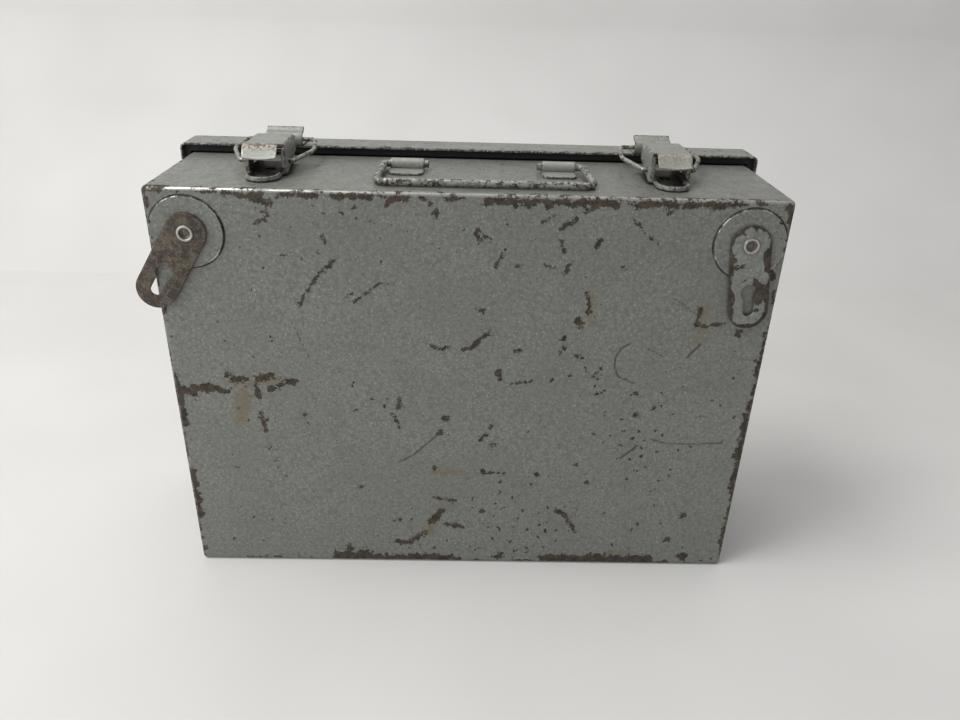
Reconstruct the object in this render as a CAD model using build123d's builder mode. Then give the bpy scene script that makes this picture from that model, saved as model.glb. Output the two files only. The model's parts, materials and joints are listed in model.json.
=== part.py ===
"""A thin steel document box that stands on its hinge side.

+X runs along the width, +Z up, and the face with the two keyhole hangers looks
along -Y.  The lid is the shallow pan behind the base.  It turns on two hinges at
the bottom, and two draw latches on top hold it shut.  The origin is on the
resting face, midway between the hanger face and the back of the lid.  Sizes are
in millimetres.
"""
import os
from build123d import *

os.makedirs("parts", exist_ok=True)

# ---------------------------------------------------------------- driving sizes
sheet = 1.0
running_gap = 0.05

base_w = 330
base_h = 238
front_y = -52
rim_y = 44
step_y = 19.5
step_h = 7
edge_r = 3
bend_r = 2.4

lid_stand_off = 5.4
lid_front_y = 26.5
lid_back_y = 52
lid_w = base_w + 2 * lid_stand_off
lid_h = base_h + lid_stand_off
lid_edge_r = 3.5
lid_bottom_front_y = 30

seal_t = 4
seal_front_y = 29.5
seal_step_y = rim_y + 1

hinge_y = 26
hinge_z = 4
hinge_x = 95
hinge_len = 50
knuckles = 5
knuckle_gap = 0.3
barrel_r = 3
leaf_t = 1.2
hinge_pin_r = 1.75
leaf_back_y = 42
hinge_rivet_y = 36
hinge_rivet_pitch = 18

wire_r = 2
clip_y = -2
clip_front_y = -17
clip_w = 18.8
clip_centres = {"left": -35.5, "right": 48.4}
clip_tail = 2.6
handle_back_xs = (-48, 62)
handle_front_xs = (-49.6, 64)
handle_front_y = -39.5
handle_corner_r = 6
handle_end_r = 2.6
handle_lift = 0.1

latch_centres = {"left": -108.6, "right": 106.0}
bail_centres = {"left": -110.0, "right": 106.6}
lip_centres = {"left": -110.2, "right": 106.6}
cup_front_y = -40
latch_base_back_y = 5.5
latch_base_w = 17.5
cup_rim_h = 2.8
cup_back_y = -24
ear_front_y = -6.5
ear_back_y = 4.5
ear_h = 11
lever_w = 21.4
lip_w = 18.2
lever_back_y = 3.5
lever_crease_y = -23.5
lever_top = 16.5
lever_foot = 0.6
lever_pivot_y = -1
lever_pivot_h = 8
lever_pin_r = 1.5
bail_wire_r = 1.2
bail_pivot_y = -15.5
bail_pivot_h = 6
bail_bar_y = 26
bail_bar_h = 9.3
bail_eye_half_w = 13.9
bail_bow_half_w = 22
bail_bow_y = 5
bail_back_half_w = 19
latch_rivet_ys = (-31, -13)

strike_w = 21
strike_back_y = 47
roll_y = 27.5
roll_r = 3.5
strike_rivet_y = 40
strike_rivet_pitch = 12

hanger_x = 144.9
hanger_z = 215
hanger_w = 21.3
hanger_reach = 36.3
hanger_t = 1.5
hanger_tilt = {"left": -32.0, "right": 7.8}
keyhole_reach = 26
keyhole_r = 4.35
keyhole_slot_reach = 37
keyhole_slot_r = 2.85
disc_r = 19
disc_t = 1.0
washer_r = 8
hanger_rivet_r = 3.2
hanger_rivet_bore_r = 2.6
hanger_rivet_ring_r = 4.45
hanger_rivet_ring_t = 0.9
hanger_rivet_depth = 4

rivet_r = 1.6
rivet_head_r = 2.8
rivet_head_t = 0.9

# ------------------------------------------------------------- places worked out
sides = {"left": -1, "right": 1}
top_z = base_h
lid_top_z = lid_h
wire_bore_r = wire_r + running_gap
clip_roll_r = wire_bore_r + sheet
disc_y = front_y - disc_t
hanger_y = disc_y - running_gap
hanger_face_y = hanger_y - hanger_t
ring_y = hanger_face_y - running_gap
hinge_xs = [-hinge_x, hinge_x]
hinge_rivet_xs = [
    hinge + offset
    for hinge in hinge_xs
    for offset in (-hinge_rivet_pitch, 0, hinge_rivet_pitch)
]


def save(part, name):
    """Label a finished piece and write it as its own STEP file."""
    part.label = name
    export_step(part, f"parts/{name}.step")


def strike_rivet_xs(centre):
    """The two rivet places of the strike plate at this latch."""
    return [centre - strike_rivet_pitch / 2, centre + strike_rivet_pitch / 2]


# -------------------------------------------------------------------- the base
with BuildPart() as base_shell:
    with BuildSketch(Plane.XZ.offset(-front_y)):
        with Locations((0, base_h / 2)):
            RectangleRounded(base_w, base_h, edge_r)
    extrude(amount=front_y - step_y)
    fillet(base_shell.faces().sort_by(Axis.Y)[0].edges(), radius=bend_r)
    offset(amount=-sheet, openings=base_shell.faces().sort_by(Axis.Y)[-1])
    # The bottom wall steps up, so the lid's lower skirt can lie level with it.
    with BuildSketch(Plane.XZ.offset(sheet - step_y)):
        with Locations((0, (base_h + step_h) / 2)):
            RectangleRounded(base_w, base_h - step_h, edge_r)
            RectangleRounded(
                base_w - 2 * sheet,
                base_h - step_h - 2 * sheet,
                edge_r - sheet,
                mode=Mode.SUBTRACT,
            )
    extrude(amount=step_y - sheet - rim_y)
    with BuildSketch(Plane.XZ.offset(sheet - step_y)):
        with Locations((0, base_h / 2)):
            RectangleRounded(base_w, base_h, edge_r)
        with Locations((0, (base_h + step_h) / 2)):
            RectangleRounded(base_w, base_h - step_h, edge_r, mode=Mode.SUBTRACT)
    extrude(amount=-sheet)
    with BuildSketch(Plane.XZ.offset(-front_y)):
        with Locations((-hanger_x, hanger_z), (hanger_x, hanger_z)):
            Circle(hanger_rivet_r)
    extrude(amount=-2 * sheet, mode=Mode.SUBTRACT)
    with BuildSketch(Plane.XY.offset(top_z)):
        for centre in latch_centres.values():
            with Locations([(centre, y) for y in latch_rivet_ys]):
                Circle(rivet_r)
    extrude(amount=-2 * sheet, mode=Mode.SUBTRACT)
    with BuildSketch(Plane.XY.offset(step_h)):
        with Locations([(x, hinge_rivet_y) for x in hinge_rivet_xs]):
            Circle(rivet_r)
    extrude(amount=sheet, mode=Mode.SUBTRACT)
save(base_shell.part, "base_shell")

# --------------------------------------------------------------------- the lid
with BuildPart() as lid_shell:
    with Locations((0, lid_front_y, 0)):
        Box(lid_w, lid_back_y - lid_front_y, lid_h, align=(Align.CENTER, Align.MIN, Align.MIN))
    fillet(lid_shell.edges().filter_by(Axis.Y), radius=lid_edge_r)
    fillet(lid_shell.faces().sort_by(Axis.Y)[-1].edges(), radius=bend_r)
    offset(amount=-sheet, openings=lid_shell.faces().sort_by(Axis.Y)[0])
    with Locations((0, lid_front_y, 0)):
        Box(
            base_w,
            lid_bottom_front_y - lid_front_y,
            2 * sheet,
            align=(Align.CENTER, Align.MIN, Align.CENTER),
            mode=Mode.SUBTRACT,
        )
    with BuildSketch(Plane.XY.offset(lid_top_z)):
        for centre in latch_centres.values():
            with Locations([(x, strike_rivet_y) for x in strike_rivet_xs(centre)]):
                Circle(rivet_r)
    extrude(amount=-2 * sheet, mode=Mode.SUBTRACT)
    with BuildSketch(Plane.XY):
        with Locations([(x, hinge_rivet_y) for x in hinge_rivet_xs]):
            Circle(rivet_r)
    extrude(amount=sheet, mode=Mode.SUBTRACT)
save(lid_shell.part, "lid_shell")

# A rubber seal fills the lid's rim.  Along the hinge side it is only a back strip,
# because the hinge leaves lie in front of it.
seal_w = lid_w - 2 * sheet
seal_h = lid_h - 2 * sheet
with BuildPart() as lid_seal:
    with BuildSketch(Plane.XZ.offset(-(lid_back_y - bend_r))):
        with Locations((0, lid_h / 2)):
            RectangleRounded(seal_w, seal_h, lid_edge_r - sheet)
            Rectangle(seal_w - 2 * seal_t, seal_h - 2 * seal_t, mode=Mode.SUBTRACT)
    extrude(amount=lid_back_y - bend_r - seal_front_y)
    with Locations((0, seal_front_y, 0)):
        Box(
            lid_w,
            seal_step_y - seal_front_y,
            2 * step_h,
            align=(Align.CENTER, Align.MIN, Align.MIN),
            mode=Mode.SUBTRACT,
        )
    with BuildSketch(Plane.XY.offset(lid_top_z - sheet)):
        for centre in latch_centres.values():
            with Locations([(x, strike_rivet_y) for x in strike_rivet_xs(centre)]):
                Circle(rivet_head_r + running_gap)
    extrude(amount=-2 * rivet_head_t, mode=Mode.SUBTRACT)
save(lid_seal.part, "lid_seal")

# ------------------------------------------------------------------- the hinges
knuckle_pitch = hinge_len / knuckles
knuckle_offsets = [(i - (knuckles - 1) / 2) * knuckle_pitch for i in range(knuckles)]
leaf_front_y = hinge_y + barrel_r + knuckle_gap
leaves = {
    "base": (knuckle_offsets[0::2], step_h - leaf_t, barrel_r - leaf_t),
    "lid": (knuckle_offsets[1::2], sheet, -barrel_r),
}
for side, sign in sides.items():
    for owner, (own_offsets, leaf_z, tongue_drop) in leaves.items():
        with BuildPart() as leaf:
            with Locations((sign * hinge_x, leaf_front_y, leaf_z)):
                Box(
                    hinge_len,
                    leaf_back_y - leaf_front_y,
                    leaf_t,
                    align=(Align.CENTER, Align.MIN, Align.MIN),
                )
            for own_offset in own_offsets:
                knuckle_x = sign * hinge_x + own_offset
                knuckle_len = knuckle_pitch - knuckle_gap
                with Locations((knuckle_x, hinge_y, hinge_z + tongue_drop)):
                    Box(
                        knuckle_len,
                        leaf_front_y - hinge_y + knuckle_gap,
                        leaf_t,
                        align=(Align.CENTER, Align.MIN, Align.MIN),
                    )
                with Locations((knuckle_x, hinge_y, hinge_z)):
                    Cylinder(barrel_r, knuckle_len, rotation=(0, 90, 0))
            with Locations((sign * hinge_x, hinge_y, hinge_z)):
                Cylinder(
                    hinge_pin_r + running_gap,
                    hinge_len,
                    rotation=(0, 90, 0),
                    mode=Mode.SUBTRACT,
                )
            with BuildSketch(Plane.XY.offset(leaf_z)):
                for offset_x in (-hinge_rivet_pitch, 0, hinge_rivet_pitch):
                    with Locations((sign * hinge_x + offset_x, hinge_rivet_y)):
                        Circle(rivet_r)
            extrude(amount=leaf_t, mode=Mode.SUBTRACT)
        save(leaf.part, f"hinge_{owner}_leaf_{side}")

    with BuildPart() as hinge_pin:
        with Locations((sign * hinge_x, hinge_y, hinge_z)):
            Cylinder(hinge_pin_r, hinge_len, rotation=(0, 90, 0))
        chamfer(hinge_pin.edges(), 0.3)
    save(hinge_pin.part, f"hinge_pin_{side}")

with BuildPart() as hinge_base_rivets:
    for x in hinge_rivet_xs:
        with Locations((x, hinge_rivet_y, step_h - leaf_t)):
            Cylinder(rivet_r, leaf_t + sheet, align=(Align.CENTER, Align.CENTER, Align.MIN))
        with Locations((x, hinge_rivet_y, step_h + sheet), (x, hinge_rivet_y, step_h - leaf_t - rivet_head_t)):
            Cylinder(rivet_head_r, rivet_head_t, align=(Align.CENTER, Align.CENTER, Align.MIN))
save(hinge_base_rivets.part, "hinge_base_rivets")

with BuildPart() as hinge_lid_rivets:
    for x in hinge_rivet_xs:
        with Locations((x, hinge_rivet_y, running_gap)):
            Cylinder(rivet_r, leaf_t + sheet, align=(Align.CENTER, Align.CENTER, Align.MIN))
        with Locations((x, hinge_rivet_y, sheet + leaf_t)):
            Cylinder(rivet_head_r, rivet_head_t, align=(Align.CENTER, Align.CENTER, Align.MIN))
save(hinge_lid_rivets.part, "hinge_lid_rivets")

# ------------------------------------------------------------------- the handle
handle_z = top_z + clip_roll_r
handle_bar_z = top_z + wire_r + handle_lift
left_end_x = clip_centres["left"] + clip_w / 2 + clip_tail
right_end_x = clip_centres["right"] - clip_w / 2 - clip_tail
with BuildPart() as handle_wire:
    with BuildLine() as handle_route:
        FilletPolyline(
            (left_end_x, clip_y, handle_z),
            (handle_back_xs[0], clip_y, handle_z),
            (handle_front_xs[0], handle_front_y, handle_bar_z),
            (handle_front_xs[1], handle_front_y, handle_bar_z),
            (handle_back_xs[1], clip_y, handle_z),
            (right_end_x, clip_y, handle_z),
            radius=[handle_end_r, handle_corner_r, handle_corner_r, handle_end_r],
        )
    with BuildSketch(Plane(origin=handle_route.line @ 0, z_dir=handle_route.line % 0)):
        Circle(wire_r)
    sweep()
save(handle_wire.part, "handle_wire")

for side, centre in clip_centres.items():
    with BuildPart() as handle_clip:
        with BuildSketch(Plane.YZ.offset(centre - clip_w / 2)):
            with Locations((clip_y, handle_z)):
                Circle(clip_roll_r)
            with Locations((clip_front_y, top_z)):
                Rectangle(clip_y - clip_front_y, sheet, align=(Align.MIN, Align.MIN))
            with Locations((clip_y, handle_z)):
                Circle(wire_bore_r, mode=Mode.SUBTRACT)
        extrude(amount=clip_w)
        flap_corners = handle_clip.edges().filter_by(Axis.Z).sort_by(Axis.Y)[:2]
        fillet(flap_corners, radius=clip_w / 4)
    save(handle_clip.part, f"handle_clip_{side}")

# ------------------------------------------------------------------ the latches
for side, centre in latch_centres.items():
    cup_r = latch_base_w / 2
    cup_y = cup_front_y + cup_r
    with BuildPart() as latch_base:
        with BuildSketch(Plane.XY.offset(top_z)) as base_outline:
            with Locations((centre, cup_y)):
                Circle(cup_r)
                Rectangle(latch_base_w, latch_base_back_y - cup_y, align=(Align.CENTER, Align.MIN))
        extrude(amount=sheet)
        with BuildSketch(Plane.XY.offset(top_z)):
            with Locations((centre, cup_y)):
                Circle(cup_r)
                Rectangle(latch_base_w, cup_back_y - cup_y, align=(Align.CENTER, Align.MIN))
                Circle(cup_r - sheet, mode=Mode.SUBTRACT)
                Rectangle(
                    latch_base_w - 2 * sheet,
                    cup_back_y - cup_y,
                    align=(Align.CENTER, Align.MIN),
                    mode=Mode.SUBTRACT,
                )
        extrude(amount=cup_rim_h)
        for ear_x in (centre - cup_r, centre + cup_r - sheet):
            with BuildSketch(Plane.YZ.offset(ear_x)):
                with Locations((ear_front_y, top_z)):
                    Rectangle(ear_back_y - ear_front_y, ear_h, align=(Align.MIN, Align.MIN))
            extrude(amount=sheet)
        ear_tops = latch_base.edges().filter_by(Axis.X).group_by(Axis.Z)[-1]
        fillet(ear_tops, radius=2.5)
        with Locations((centre, lever_pivot_y, top_z + lever_pivot_h)):
            Cylinder(lever_pin_r, latch_base_w, rotation=(0, 90, 0), mode=Mode.SUBTRACT)
        with Locations([(centre, y, top_z) for y in latch_rivet_ys]):
            Cylinder(rivet_r, 2 * sheet, mode=Mode.SUBTRACT)
    save(latch_base.part, f"latch_base_{side}")

    with BuildPart() as latch_base_rivets:
        for y in latch_rivet_ys:
            with Locations((centre, y, top_z - sheet)):
                Cylinder(rivet_r, 2 * sheet, align=(Align.CENTER, Align.CENTER, Align.MIN))
            with Locations((centre, y, top_z + sheet), (centre, y, top_z - sheet - rivet_head_t)):
                Cylinder(rivet_head_r, rivet_head_t, align=(Align.CENTER, Align.CENTER, Align.MIN))
    save(latch_base_rivets.part, f"latch_base_rivets_{side}")

    # The lever is a channel: a top plate that curls down into a finger lip, and
    # two side flanges that taper to a foot at the front.
    plate_mid = top_z + lever_top - sheet / 2
    flange_xs = (centre - lever_w / 2, centre + lever_w / 2 - sheet)
    with BuildPart() as latch_lever:
        with BuildSketch(Plane.YZ.offset(centre - lever_w / 2)):
            with Locations((lever_crease_y, plate_mid - sheet / 2)):
                Rectangle(lever_back_y - lever_crease_y, sheet, align=(Align.MIN, Align.MIN))
        extrude(amount=lever_w)
        with BuildSketch(Plane.YZ.offset(lip_centres[side] - lip_w / 2)):
            with BuildLine():
                crease = JernArc((lever_crease_y, plate_mid), (-1, 0), radius=4, arc_size=55)
                lip = Line(crease @ 1, crease @ 1 + 4.5 * (crease % 1))
                JernArc(lip @ 1, lip % 1, radius=2.5, arc_size=-45)
            trace(line_width=sheet)
        extrude(amount=lip_w)
        for flange_x in flange_xs:
            with BuildSketch(Plane.YZ.offset(flange_x)):
                with BuildLine():
                    Polyline(
                        (lever_back_y, plate_mid),
                        (lever_crease_y, plate_mid),
                        (lever_crease_y - 0.5, top_z + lever_foot),
                        (lever_crease_y + 2.5, top_z + lever_foot),
                        (lever_pivot_y + 1, top_z + lever_pivot_h - 3.6),
                        (lever_back_y + 1, top_z + lever_pivot_h - 1.5),
                        (lever_back_y, plate_mid),
                    )
                make_face()
            extrude(amount=sheet)
        with Locations((centre, lever_pivot_y, top_z + lever_pivot_h)):
            Cylinder(lever_pin_r + running_gap, lever_w, rotation=(0, 90, 0), mode=Mode.SUBTRACT)
        with Locations((centre, bail_pivot_y, top_z + bail_pivot_h)):
            Cylinder(bail_wire_r + running_gap, lever_w, rotation=(0, 90, 0), mode=Mode.SUBTRACT)
    save(latch_lever.part, f"latch_lever_{side}")

    with BuildPart() as latch_pin:
        with Locations((centre, lever_pivot_y, top_z + lever_pivot_h)):
            Cylinder(lever_pin_r, lever_w + 0.6, rotation=(0, 90, 0))
    save(latch_pin.part, f"latch_pin_{side}")

    pivot_z = top_z + bail_pivot_h
    bow_z = pivot_z + (bail_bar_h - bail_pivot_h) / 2
    bar_z = top_z + bail_bar_h
    bail_x = bail_centres[side]
    eye_reach = lever_w / 2 - 2.6
    with BuildPart() as latch_bail:
        with BuildLine() as bail_route:
            FilletPolyline(
                (centre - eye_reach, bail_pivot_y, pivot_z),
                (bail_x - bail_eye_half_w, bail_pivot_y, pivot_z),
                (bail_x - bail_bow_half_w, bail_bow_y, bow_z),
                (bail_x - bail_back_half_w, bail_bar_y, bar_z),
                (bail_x + bail_back_half_w, bail_bar_y, bar_z),
                (bail_x + bail_bow_half_w, bail_bow_y, bow_z),
                (bail_x + bail_eye_half_w, bail_pivot_y, pivot_z),
                (centre + eye_reach, bail_pivot_y, pivot_z),
                radius=[1.4, 15, 3, 3, 15, 1.4],
            )
        with BuildSketch(Plane(origin=bail_route.line @ 0, z_dir=bail_route.line % 0)):
            Circle(bail_wire_r)
        sweep()
    save(latch_bail.part, f"latch_bail_{side}")

    # The strike lies on the lid; its front edge rolls up and back over the bail's
    # bar and ends in a flared lip.
    strike_mid = lid_top_z + sheet / 2
    with BuildPart() as strike:
        with BuildSketch(Plane.YZ.offset(centre - strike_w / 2)):
            with BuildLine():
                flat = Line((strike_back_y, strike_mid), (roll_y, strike_mid))
                roll = JernArc(flat @ 1, flat % 1, radius=roll_r, arc_size=-180)
                flare = JernArc(roll @ 1, roll % 1, radius=3, arc_size=40)
                Line(flare @ 1, flare @ 1 + 2.6 * (flare % 1))
            trace(line_width=sheet)
        extrude(amount=strike_w)
        with Locations([(x, strike_rivet_y, strike_mid) for x in strike_rivet_xs(centre)]):
            Cylinder(rivet_r, 2 * sheet, mode=Mode.SUBTRACT)
    save(strike.part, f"strike_{side}")

    with BuildPart() as strike_rivets:
        for x in strike_rivet_xs(centre):
            with Locations((x, strike_rivet_y, lid_top_z - sheet)):
                Cylinder(rivet_r, 2 * sheet, align=(Align.CENTER, Align.CENTER, Align.MIN))
            with Locations(
                (x, strike_rivet_y, lid_top_z + sheet),
                (x, strike_rivet_y, lid_top_z - sheet - rivet_head_t),
            ):
                Cylinder(rivet_head_r, rivet_head_t, align=(Align.CENTER, Align.CENTER, Align.MIN))
    save(strike_rivets.part, f"strike_rivets_{side}")

# ------------------------------------------------------------ the wall hangers
for side, sign in sides.items():
    pivot_x = sign * hanger_x
    with BuildPart() as hanger_disc:
        with BuildSketch(Plane.XZ.offset(-front_y)):
            with Locations((pivot_x, hanger_z)):
                Circle(disc_r)
                Circle(hanger_rivet_r, mode=Mode.SUBTRACT)
        extrude(amount=disc_t)
        fillet(hanger_disc.edges().group_by(Axis.Y)[0].sort_by(SortBy.RADIUS)[-1], radius=0.5)
    save(hanger_disc.part, f"hanger_disc_{side}")

    hanger_plane = Plane(
        origin=(pivot_x, hanger_y, hanger_z),
        x_dir=Vector(1, 0, 0).rotate(Axis.Y, -hanger_tilt[side]),
        z_dir=(0, -1, 0),
    )
    with BuildPart() as hanger:
        with BuildSketch(hanger_plane):
            with Locations((0, -hanger_reach / 2)):
                SlotCenterToCenter(hanger_reach, hanger_w, rotation=90)
            Circle(hanger_rivet_r + running_gap, mode=Mode.SUBTRACT)
            with Locations((0, -keyhole_reach)):
                Circle(keyhole_r, mode=Mode.SUBTRACT)
            with Locations((0, -(keyhole_reach + keyhole_slot_reach) / 2)):
                SlotCenterToCenter(
                    keyhole_slot_reach - keyhole_reach,
                    2 * keyhole_slot_r,
                    rotation=90,
                    mode=Mode.SUBTRACT,
                )
        extrude(amount=hanger_t)
    save(hanger.part, f"hanger_{side}")

    # A semi-tubular rivet: a ring rolled over the hanger outside, a flat head inside.
    with BuildPart() as hanger_rivet:
        with BuildSketch(Plane.XZ.offset(-ring_y)):
            with Locations((pivot_x, hanger_z)):
                Circle(hanger_rivet_ring_r)
        extrude(amount=hanger_rivet_ring_t)
        with BuildSketch(Plane.XZ.offset(-ring_y)):
            with Locations((pivot_x, hanger_z)):
                Circle(hanger_rivet_r)
        extrude(amount=-(front_y + 2 * sheet - ring_y))
        with BuildSketch(Plane.XZ.offset(-(front_y + 2 * sheet))):
            with Locations((pivot_x, hanger_z)):
                Circle(washer_r - 2.5)
        extrude(amount=-sheet)
        with BuildSketch(Plane.XZ.offset(-(ring_y - hanger_rivet_ring_t))):
            with Locations((pivot_x, hanger_z)):
                Circle(hanger_rivet_bore_r)
        extrude(amount=-hanger_rivet_depth, mode=Mode.SUBTRACT)
        outer_rim = hanger_rivet.edges().group_by(Axis.Y)[0].sort_by(SortBy.RADIUS)[-1]
        fillet(outer_rim, radius=0.6)
    save(hanger_rivet.part, f"hanger_rivet_{side}")

    with BuildPart() as backing_washer:
        with BuildSketch(Plane.XZ.offset(-(front_y + sheet))):
            with Locations((pivot_x, hanger_z)):
                Circle(washer_r)
                Circle(hanger_rivet_r, mode=Mode.SUBTRACT)
        extrude(amount=-sheet)
    save(backing_washer.part, f"hanger_washer_{side}")
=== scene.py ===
import itertools
import json
import math

import bmesh
import bpy
import numpy as np
from mathutils import Matrix, Vector, kdtree, noise


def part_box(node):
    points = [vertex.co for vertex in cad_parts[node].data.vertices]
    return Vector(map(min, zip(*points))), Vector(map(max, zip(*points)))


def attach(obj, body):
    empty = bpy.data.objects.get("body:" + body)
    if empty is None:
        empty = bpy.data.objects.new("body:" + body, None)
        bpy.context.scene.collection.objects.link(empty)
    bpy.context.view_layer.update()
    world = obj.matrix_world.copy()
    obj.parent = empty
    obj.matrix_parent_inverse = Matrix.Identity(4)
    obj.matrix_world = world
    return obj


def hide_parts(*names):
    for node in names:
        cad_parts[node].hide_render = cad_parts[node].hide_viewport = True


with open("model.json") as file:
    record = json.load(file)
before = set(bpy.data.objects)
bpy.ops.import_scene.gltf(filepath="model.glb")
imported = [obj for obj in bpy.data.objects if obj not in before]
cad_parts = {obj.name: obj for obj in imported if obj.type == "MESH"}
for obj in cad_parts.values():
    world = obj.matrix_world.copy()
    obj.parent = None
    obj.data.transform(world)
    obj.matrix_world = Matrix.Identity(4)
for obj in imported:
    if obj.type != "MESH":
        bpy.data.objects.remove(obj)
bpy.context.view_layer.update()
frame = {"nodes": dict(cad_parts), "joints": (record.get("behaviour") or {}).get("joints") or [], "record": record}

# Looks of a grey hammertone steel document box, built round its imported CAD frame.
# Shapes are worked out in millimetres in the CAD frame and scaled as their meshes are made.
MM = 0.001
SIDES = {"left": -1, "right": 1}


def span(node):
    """Lowest and highest corner of a CAD node, in millimetres."""
    low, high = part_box(node)
    return low / MM, high / MM


PIVOTS = {joint["name"]: Vector(joint["pos_m"]) / MM for joint in frame["joints"]}
MOUNTS = {mount["name"]: Vector(mount["pos_m"]) / MM for mount in frame["record"]["mounts"]}
BASE_LOW, BASE_HIGH = span("base_shell")
LID_LOW, LID_HIGH = span("lid_shell")
TOP_Z = BASE_HIGH.z
FRONT_Y = BASE_LOW.y
SHEET = 1.0
SHEET_EDGE = 0.25
HANGER_REACH = 36.3
HANGER_HALF = 10.65


# ------------------------------------------------------------------ mesh helpers
def add_mesh(name, points, faces):
    """A new object from points in millimetres."""
    mesh = bpy.data.meshes.new(name)
    mesh.from_pydata([Vector(point) * MM for point in points], [], faces)
    mesh.validate()
    piece = bpy.data.objects.new(name, mesh)
    bpy.context.scene.collection.objects.link(piece)
    return piece


def face_outward(mesh):
    """Joins points that coincide and turns every face outward."""
    shape = bmesh.new()
    shape.from_mesh(mesh)
    bmesh.ops.remove_doubles(shape, verts=shape.verts, dist=1e-6)
    bmesh.ops.recalc_face_normals(shape, faces=shape.faces)
    shape.to_mesh(mesh)
    shape.free()


def apply_modifiers(piece):
    """Replaces the piece's mesh by its evaluated mesh."""
    graph = bpy.context.evaluated_depsgraph_get()
    mesh = bpy.data.meshes.new_from_object(piece.evaluated_get(graph))
    piece.modifiers.clear()
    piece.data = mesh


def solidify(piece, thickness, offset=-1.0):
    """Gives a surface its sheet thickness, in millimetres."""
    modifier = piece.modifiers.new("thickness", "SOLIDIFY")
    modifier.thickness = thickness * MM
    modifier.offset = offset
    modifier.use_even_offset = True
    apply_modifiers(piece)


def round_edges(piece, width, segments, angle):
    """Rounds every edge sharper than angle."""
    modifier = piece.modifiers.new("round", "BEVEL")
    modifier.width = width * MM
    modifier.segments = segments
    modifier.limit_method = "ANGLE"
    modifier.angle_limit = math.radians(angle)
    modifier.use_clamp_overlap = True
    apply_modifiers(piece)


def cut(piece, cutter):
    """Cuts one solid out of another and drops the cutter."""
    modifier = piece.modifiers.new("cut", "BOOLEAN")
    modifier.operation = "DIFFERENCE"
    modifier.solver = "EXACT"
    modifier.object = cutter
    apply_modifiers(piece)
    bpy.data.objects.remove(cutter)


def mark_wear(piece, reach):
    """Stores on each vertex how near it is to a sharp edge: 1 on the edge, 0 beyond reach."""
    mesh = piece.data
    shape = bmesh.new()
    shape.from_mesh(mesh)
    sharp = set()
    for edge in shape.edges:
        if len(edge.link_faces) == 2 and edge.calc_face_angle(0) > math.radians(18):
            sharp.update(vertex.index for vertex in edge.verts)
    tree = kdtree.KDTree(max(1, len(sharp)))
    shape.verts.ensure_lookup_table()
    for index in sharp:
        tree.insert(shape.verts[index].co, index)
    tree.balance()
    wear = mesh.attributes.new("wear", "FLOAT", "POINT")
    for vertex in shape.verts:
        distance = tree.find(vertex.co)[2] if sharp else reach * MM
        wear.data[vertex.index].value = max(0.0, 1 - distance / (reach * MM))
    shape.free()


def finish_piece(piece, body, material, replaces=(), wear=None):
    """Smooth shading, material and body of a finished piece, with its wear to that reach, and the CAD nodes it
    replaces hidden.
    """
    if wear:
        mark_wear(piece, wear)
    piece.data.materials.clear()
    piece.data.materials.append(material)
    piece.data.shade_smooth()
    piece.data.set_sharp_from_angle(angle=math.radians(30))
    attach(piece, body)
    if replaces:
        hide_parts(*replaces)


def route(start, heading, steps):
    """Points of a flat path made of ("line", length) and ("arc", radius, degrees) steps."""
    place = Vector(start)
    heading = math.radians(heading)
    points = [place.copy()]
    for kind, *sizes in steps:
        if kind == "line":
            pieces = max(1, round(sizes[0] / 1.2))
            for _ in range(pieces):
                place = place + Vector((math.cos(heading), math.sin(heading))) * sizes[0] / pieces
                points.append(place.copy())
        else:
            radius, turn = sizes
            pieces = max(2, round(abs(turn) / 12))
            step = math.radians(turn) / pieces
            chord = 2 * radius * math.sin(abs(step) / 2)
            for _ in range(pieces):
                heading += step / 2
                place = place + Vector((math.cos(heading), math.sin(heading))) * chord
                heading += step / 2
                points.append(place.copy())
    return points


def sheet_sweep(name, rows, spans, columns=12, thickness=SHEET):
    """Sheet metal bent along a (y, z) path; spans gives each row's x limits."""
    points = []
    for (y, z), (low, high) in zip(rows, spans):
        points += [(low + (high - low) * i / columns, y, z) for i in range(columns + 1)]
    faces = []
    for row in range(len(rows) - 1):
        for i in range(columns):
            corner = row * (columns + 1) + i
            faces.append((corner, corner + 1, corner + columns + 2, corner + columns + 1))
    piece = add_mesh(name, points, faces)
    solidify(piece, thickness, 0.0)
    round_edges(piece, SHEET_EDGE, 2, 50)
    return piece


def arc_points(centre, radius, start, end, count):
    """Points along an arc, angles in degrees."""
    angles = [math.radians(start + (end - start) * i / count) for i in range(count + 1)]
    return [(centre[0] + radius * math.cos(a), centre[1] + radius * math.sin(a)) for a in angles]


def slot_outline(low, high, radius, count):
    """A slot from (0, low) to (0, high) with round ends."""
    return arc_points((0, high), radius, 0, 180, count) + arc_points((0, low), radius, 180, 360, count)


def plate(name, outlines, thickness, edge, place):
    """A flat plate with rounded edges from closed outlines; inner ones are holes. Its back is at z = 0."""
    curve = bpy.data.curves.new(name, "CURVE")
    curve.dimensions = "2D"
    curve.fill_mode = "BOTH"
    for outline in outlines:
        spline = curve.splines.new("POLY")
        spline.points.add(len(outline) - 1)
        for point, (x, y) in zip(spline.points, outline):
            point.co = (x * MM, y * MM, 0, 1)
        spline.use_cyclic_u = True
    curve.bevel_depth = edge * MM
    curve.bevel_resolution = 2
    curve.offset = -edge * MM
    curve.extrude = (thickness / 2 - edge) * MM
    source = bpy.data.objects.new(name, curve)
    bpy.context.scene.collection.objects.link(source)
    mesh = bpy.data.meshes.new_from_object(source.evaluated_get(bpy.context.evaluated_depsgraph_get()))
    bpy.data.objects.remove(source)
    mesh.transform(place_mm(place) @ Matrix.Translation((0, 0, thickness / 2 * MM)))
    face_outward(mesh)
    piece = bpy.data.objects.new(name, mesh)
    bpy.context.scene.collection.objects.link(piece)
    return piece


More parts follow.
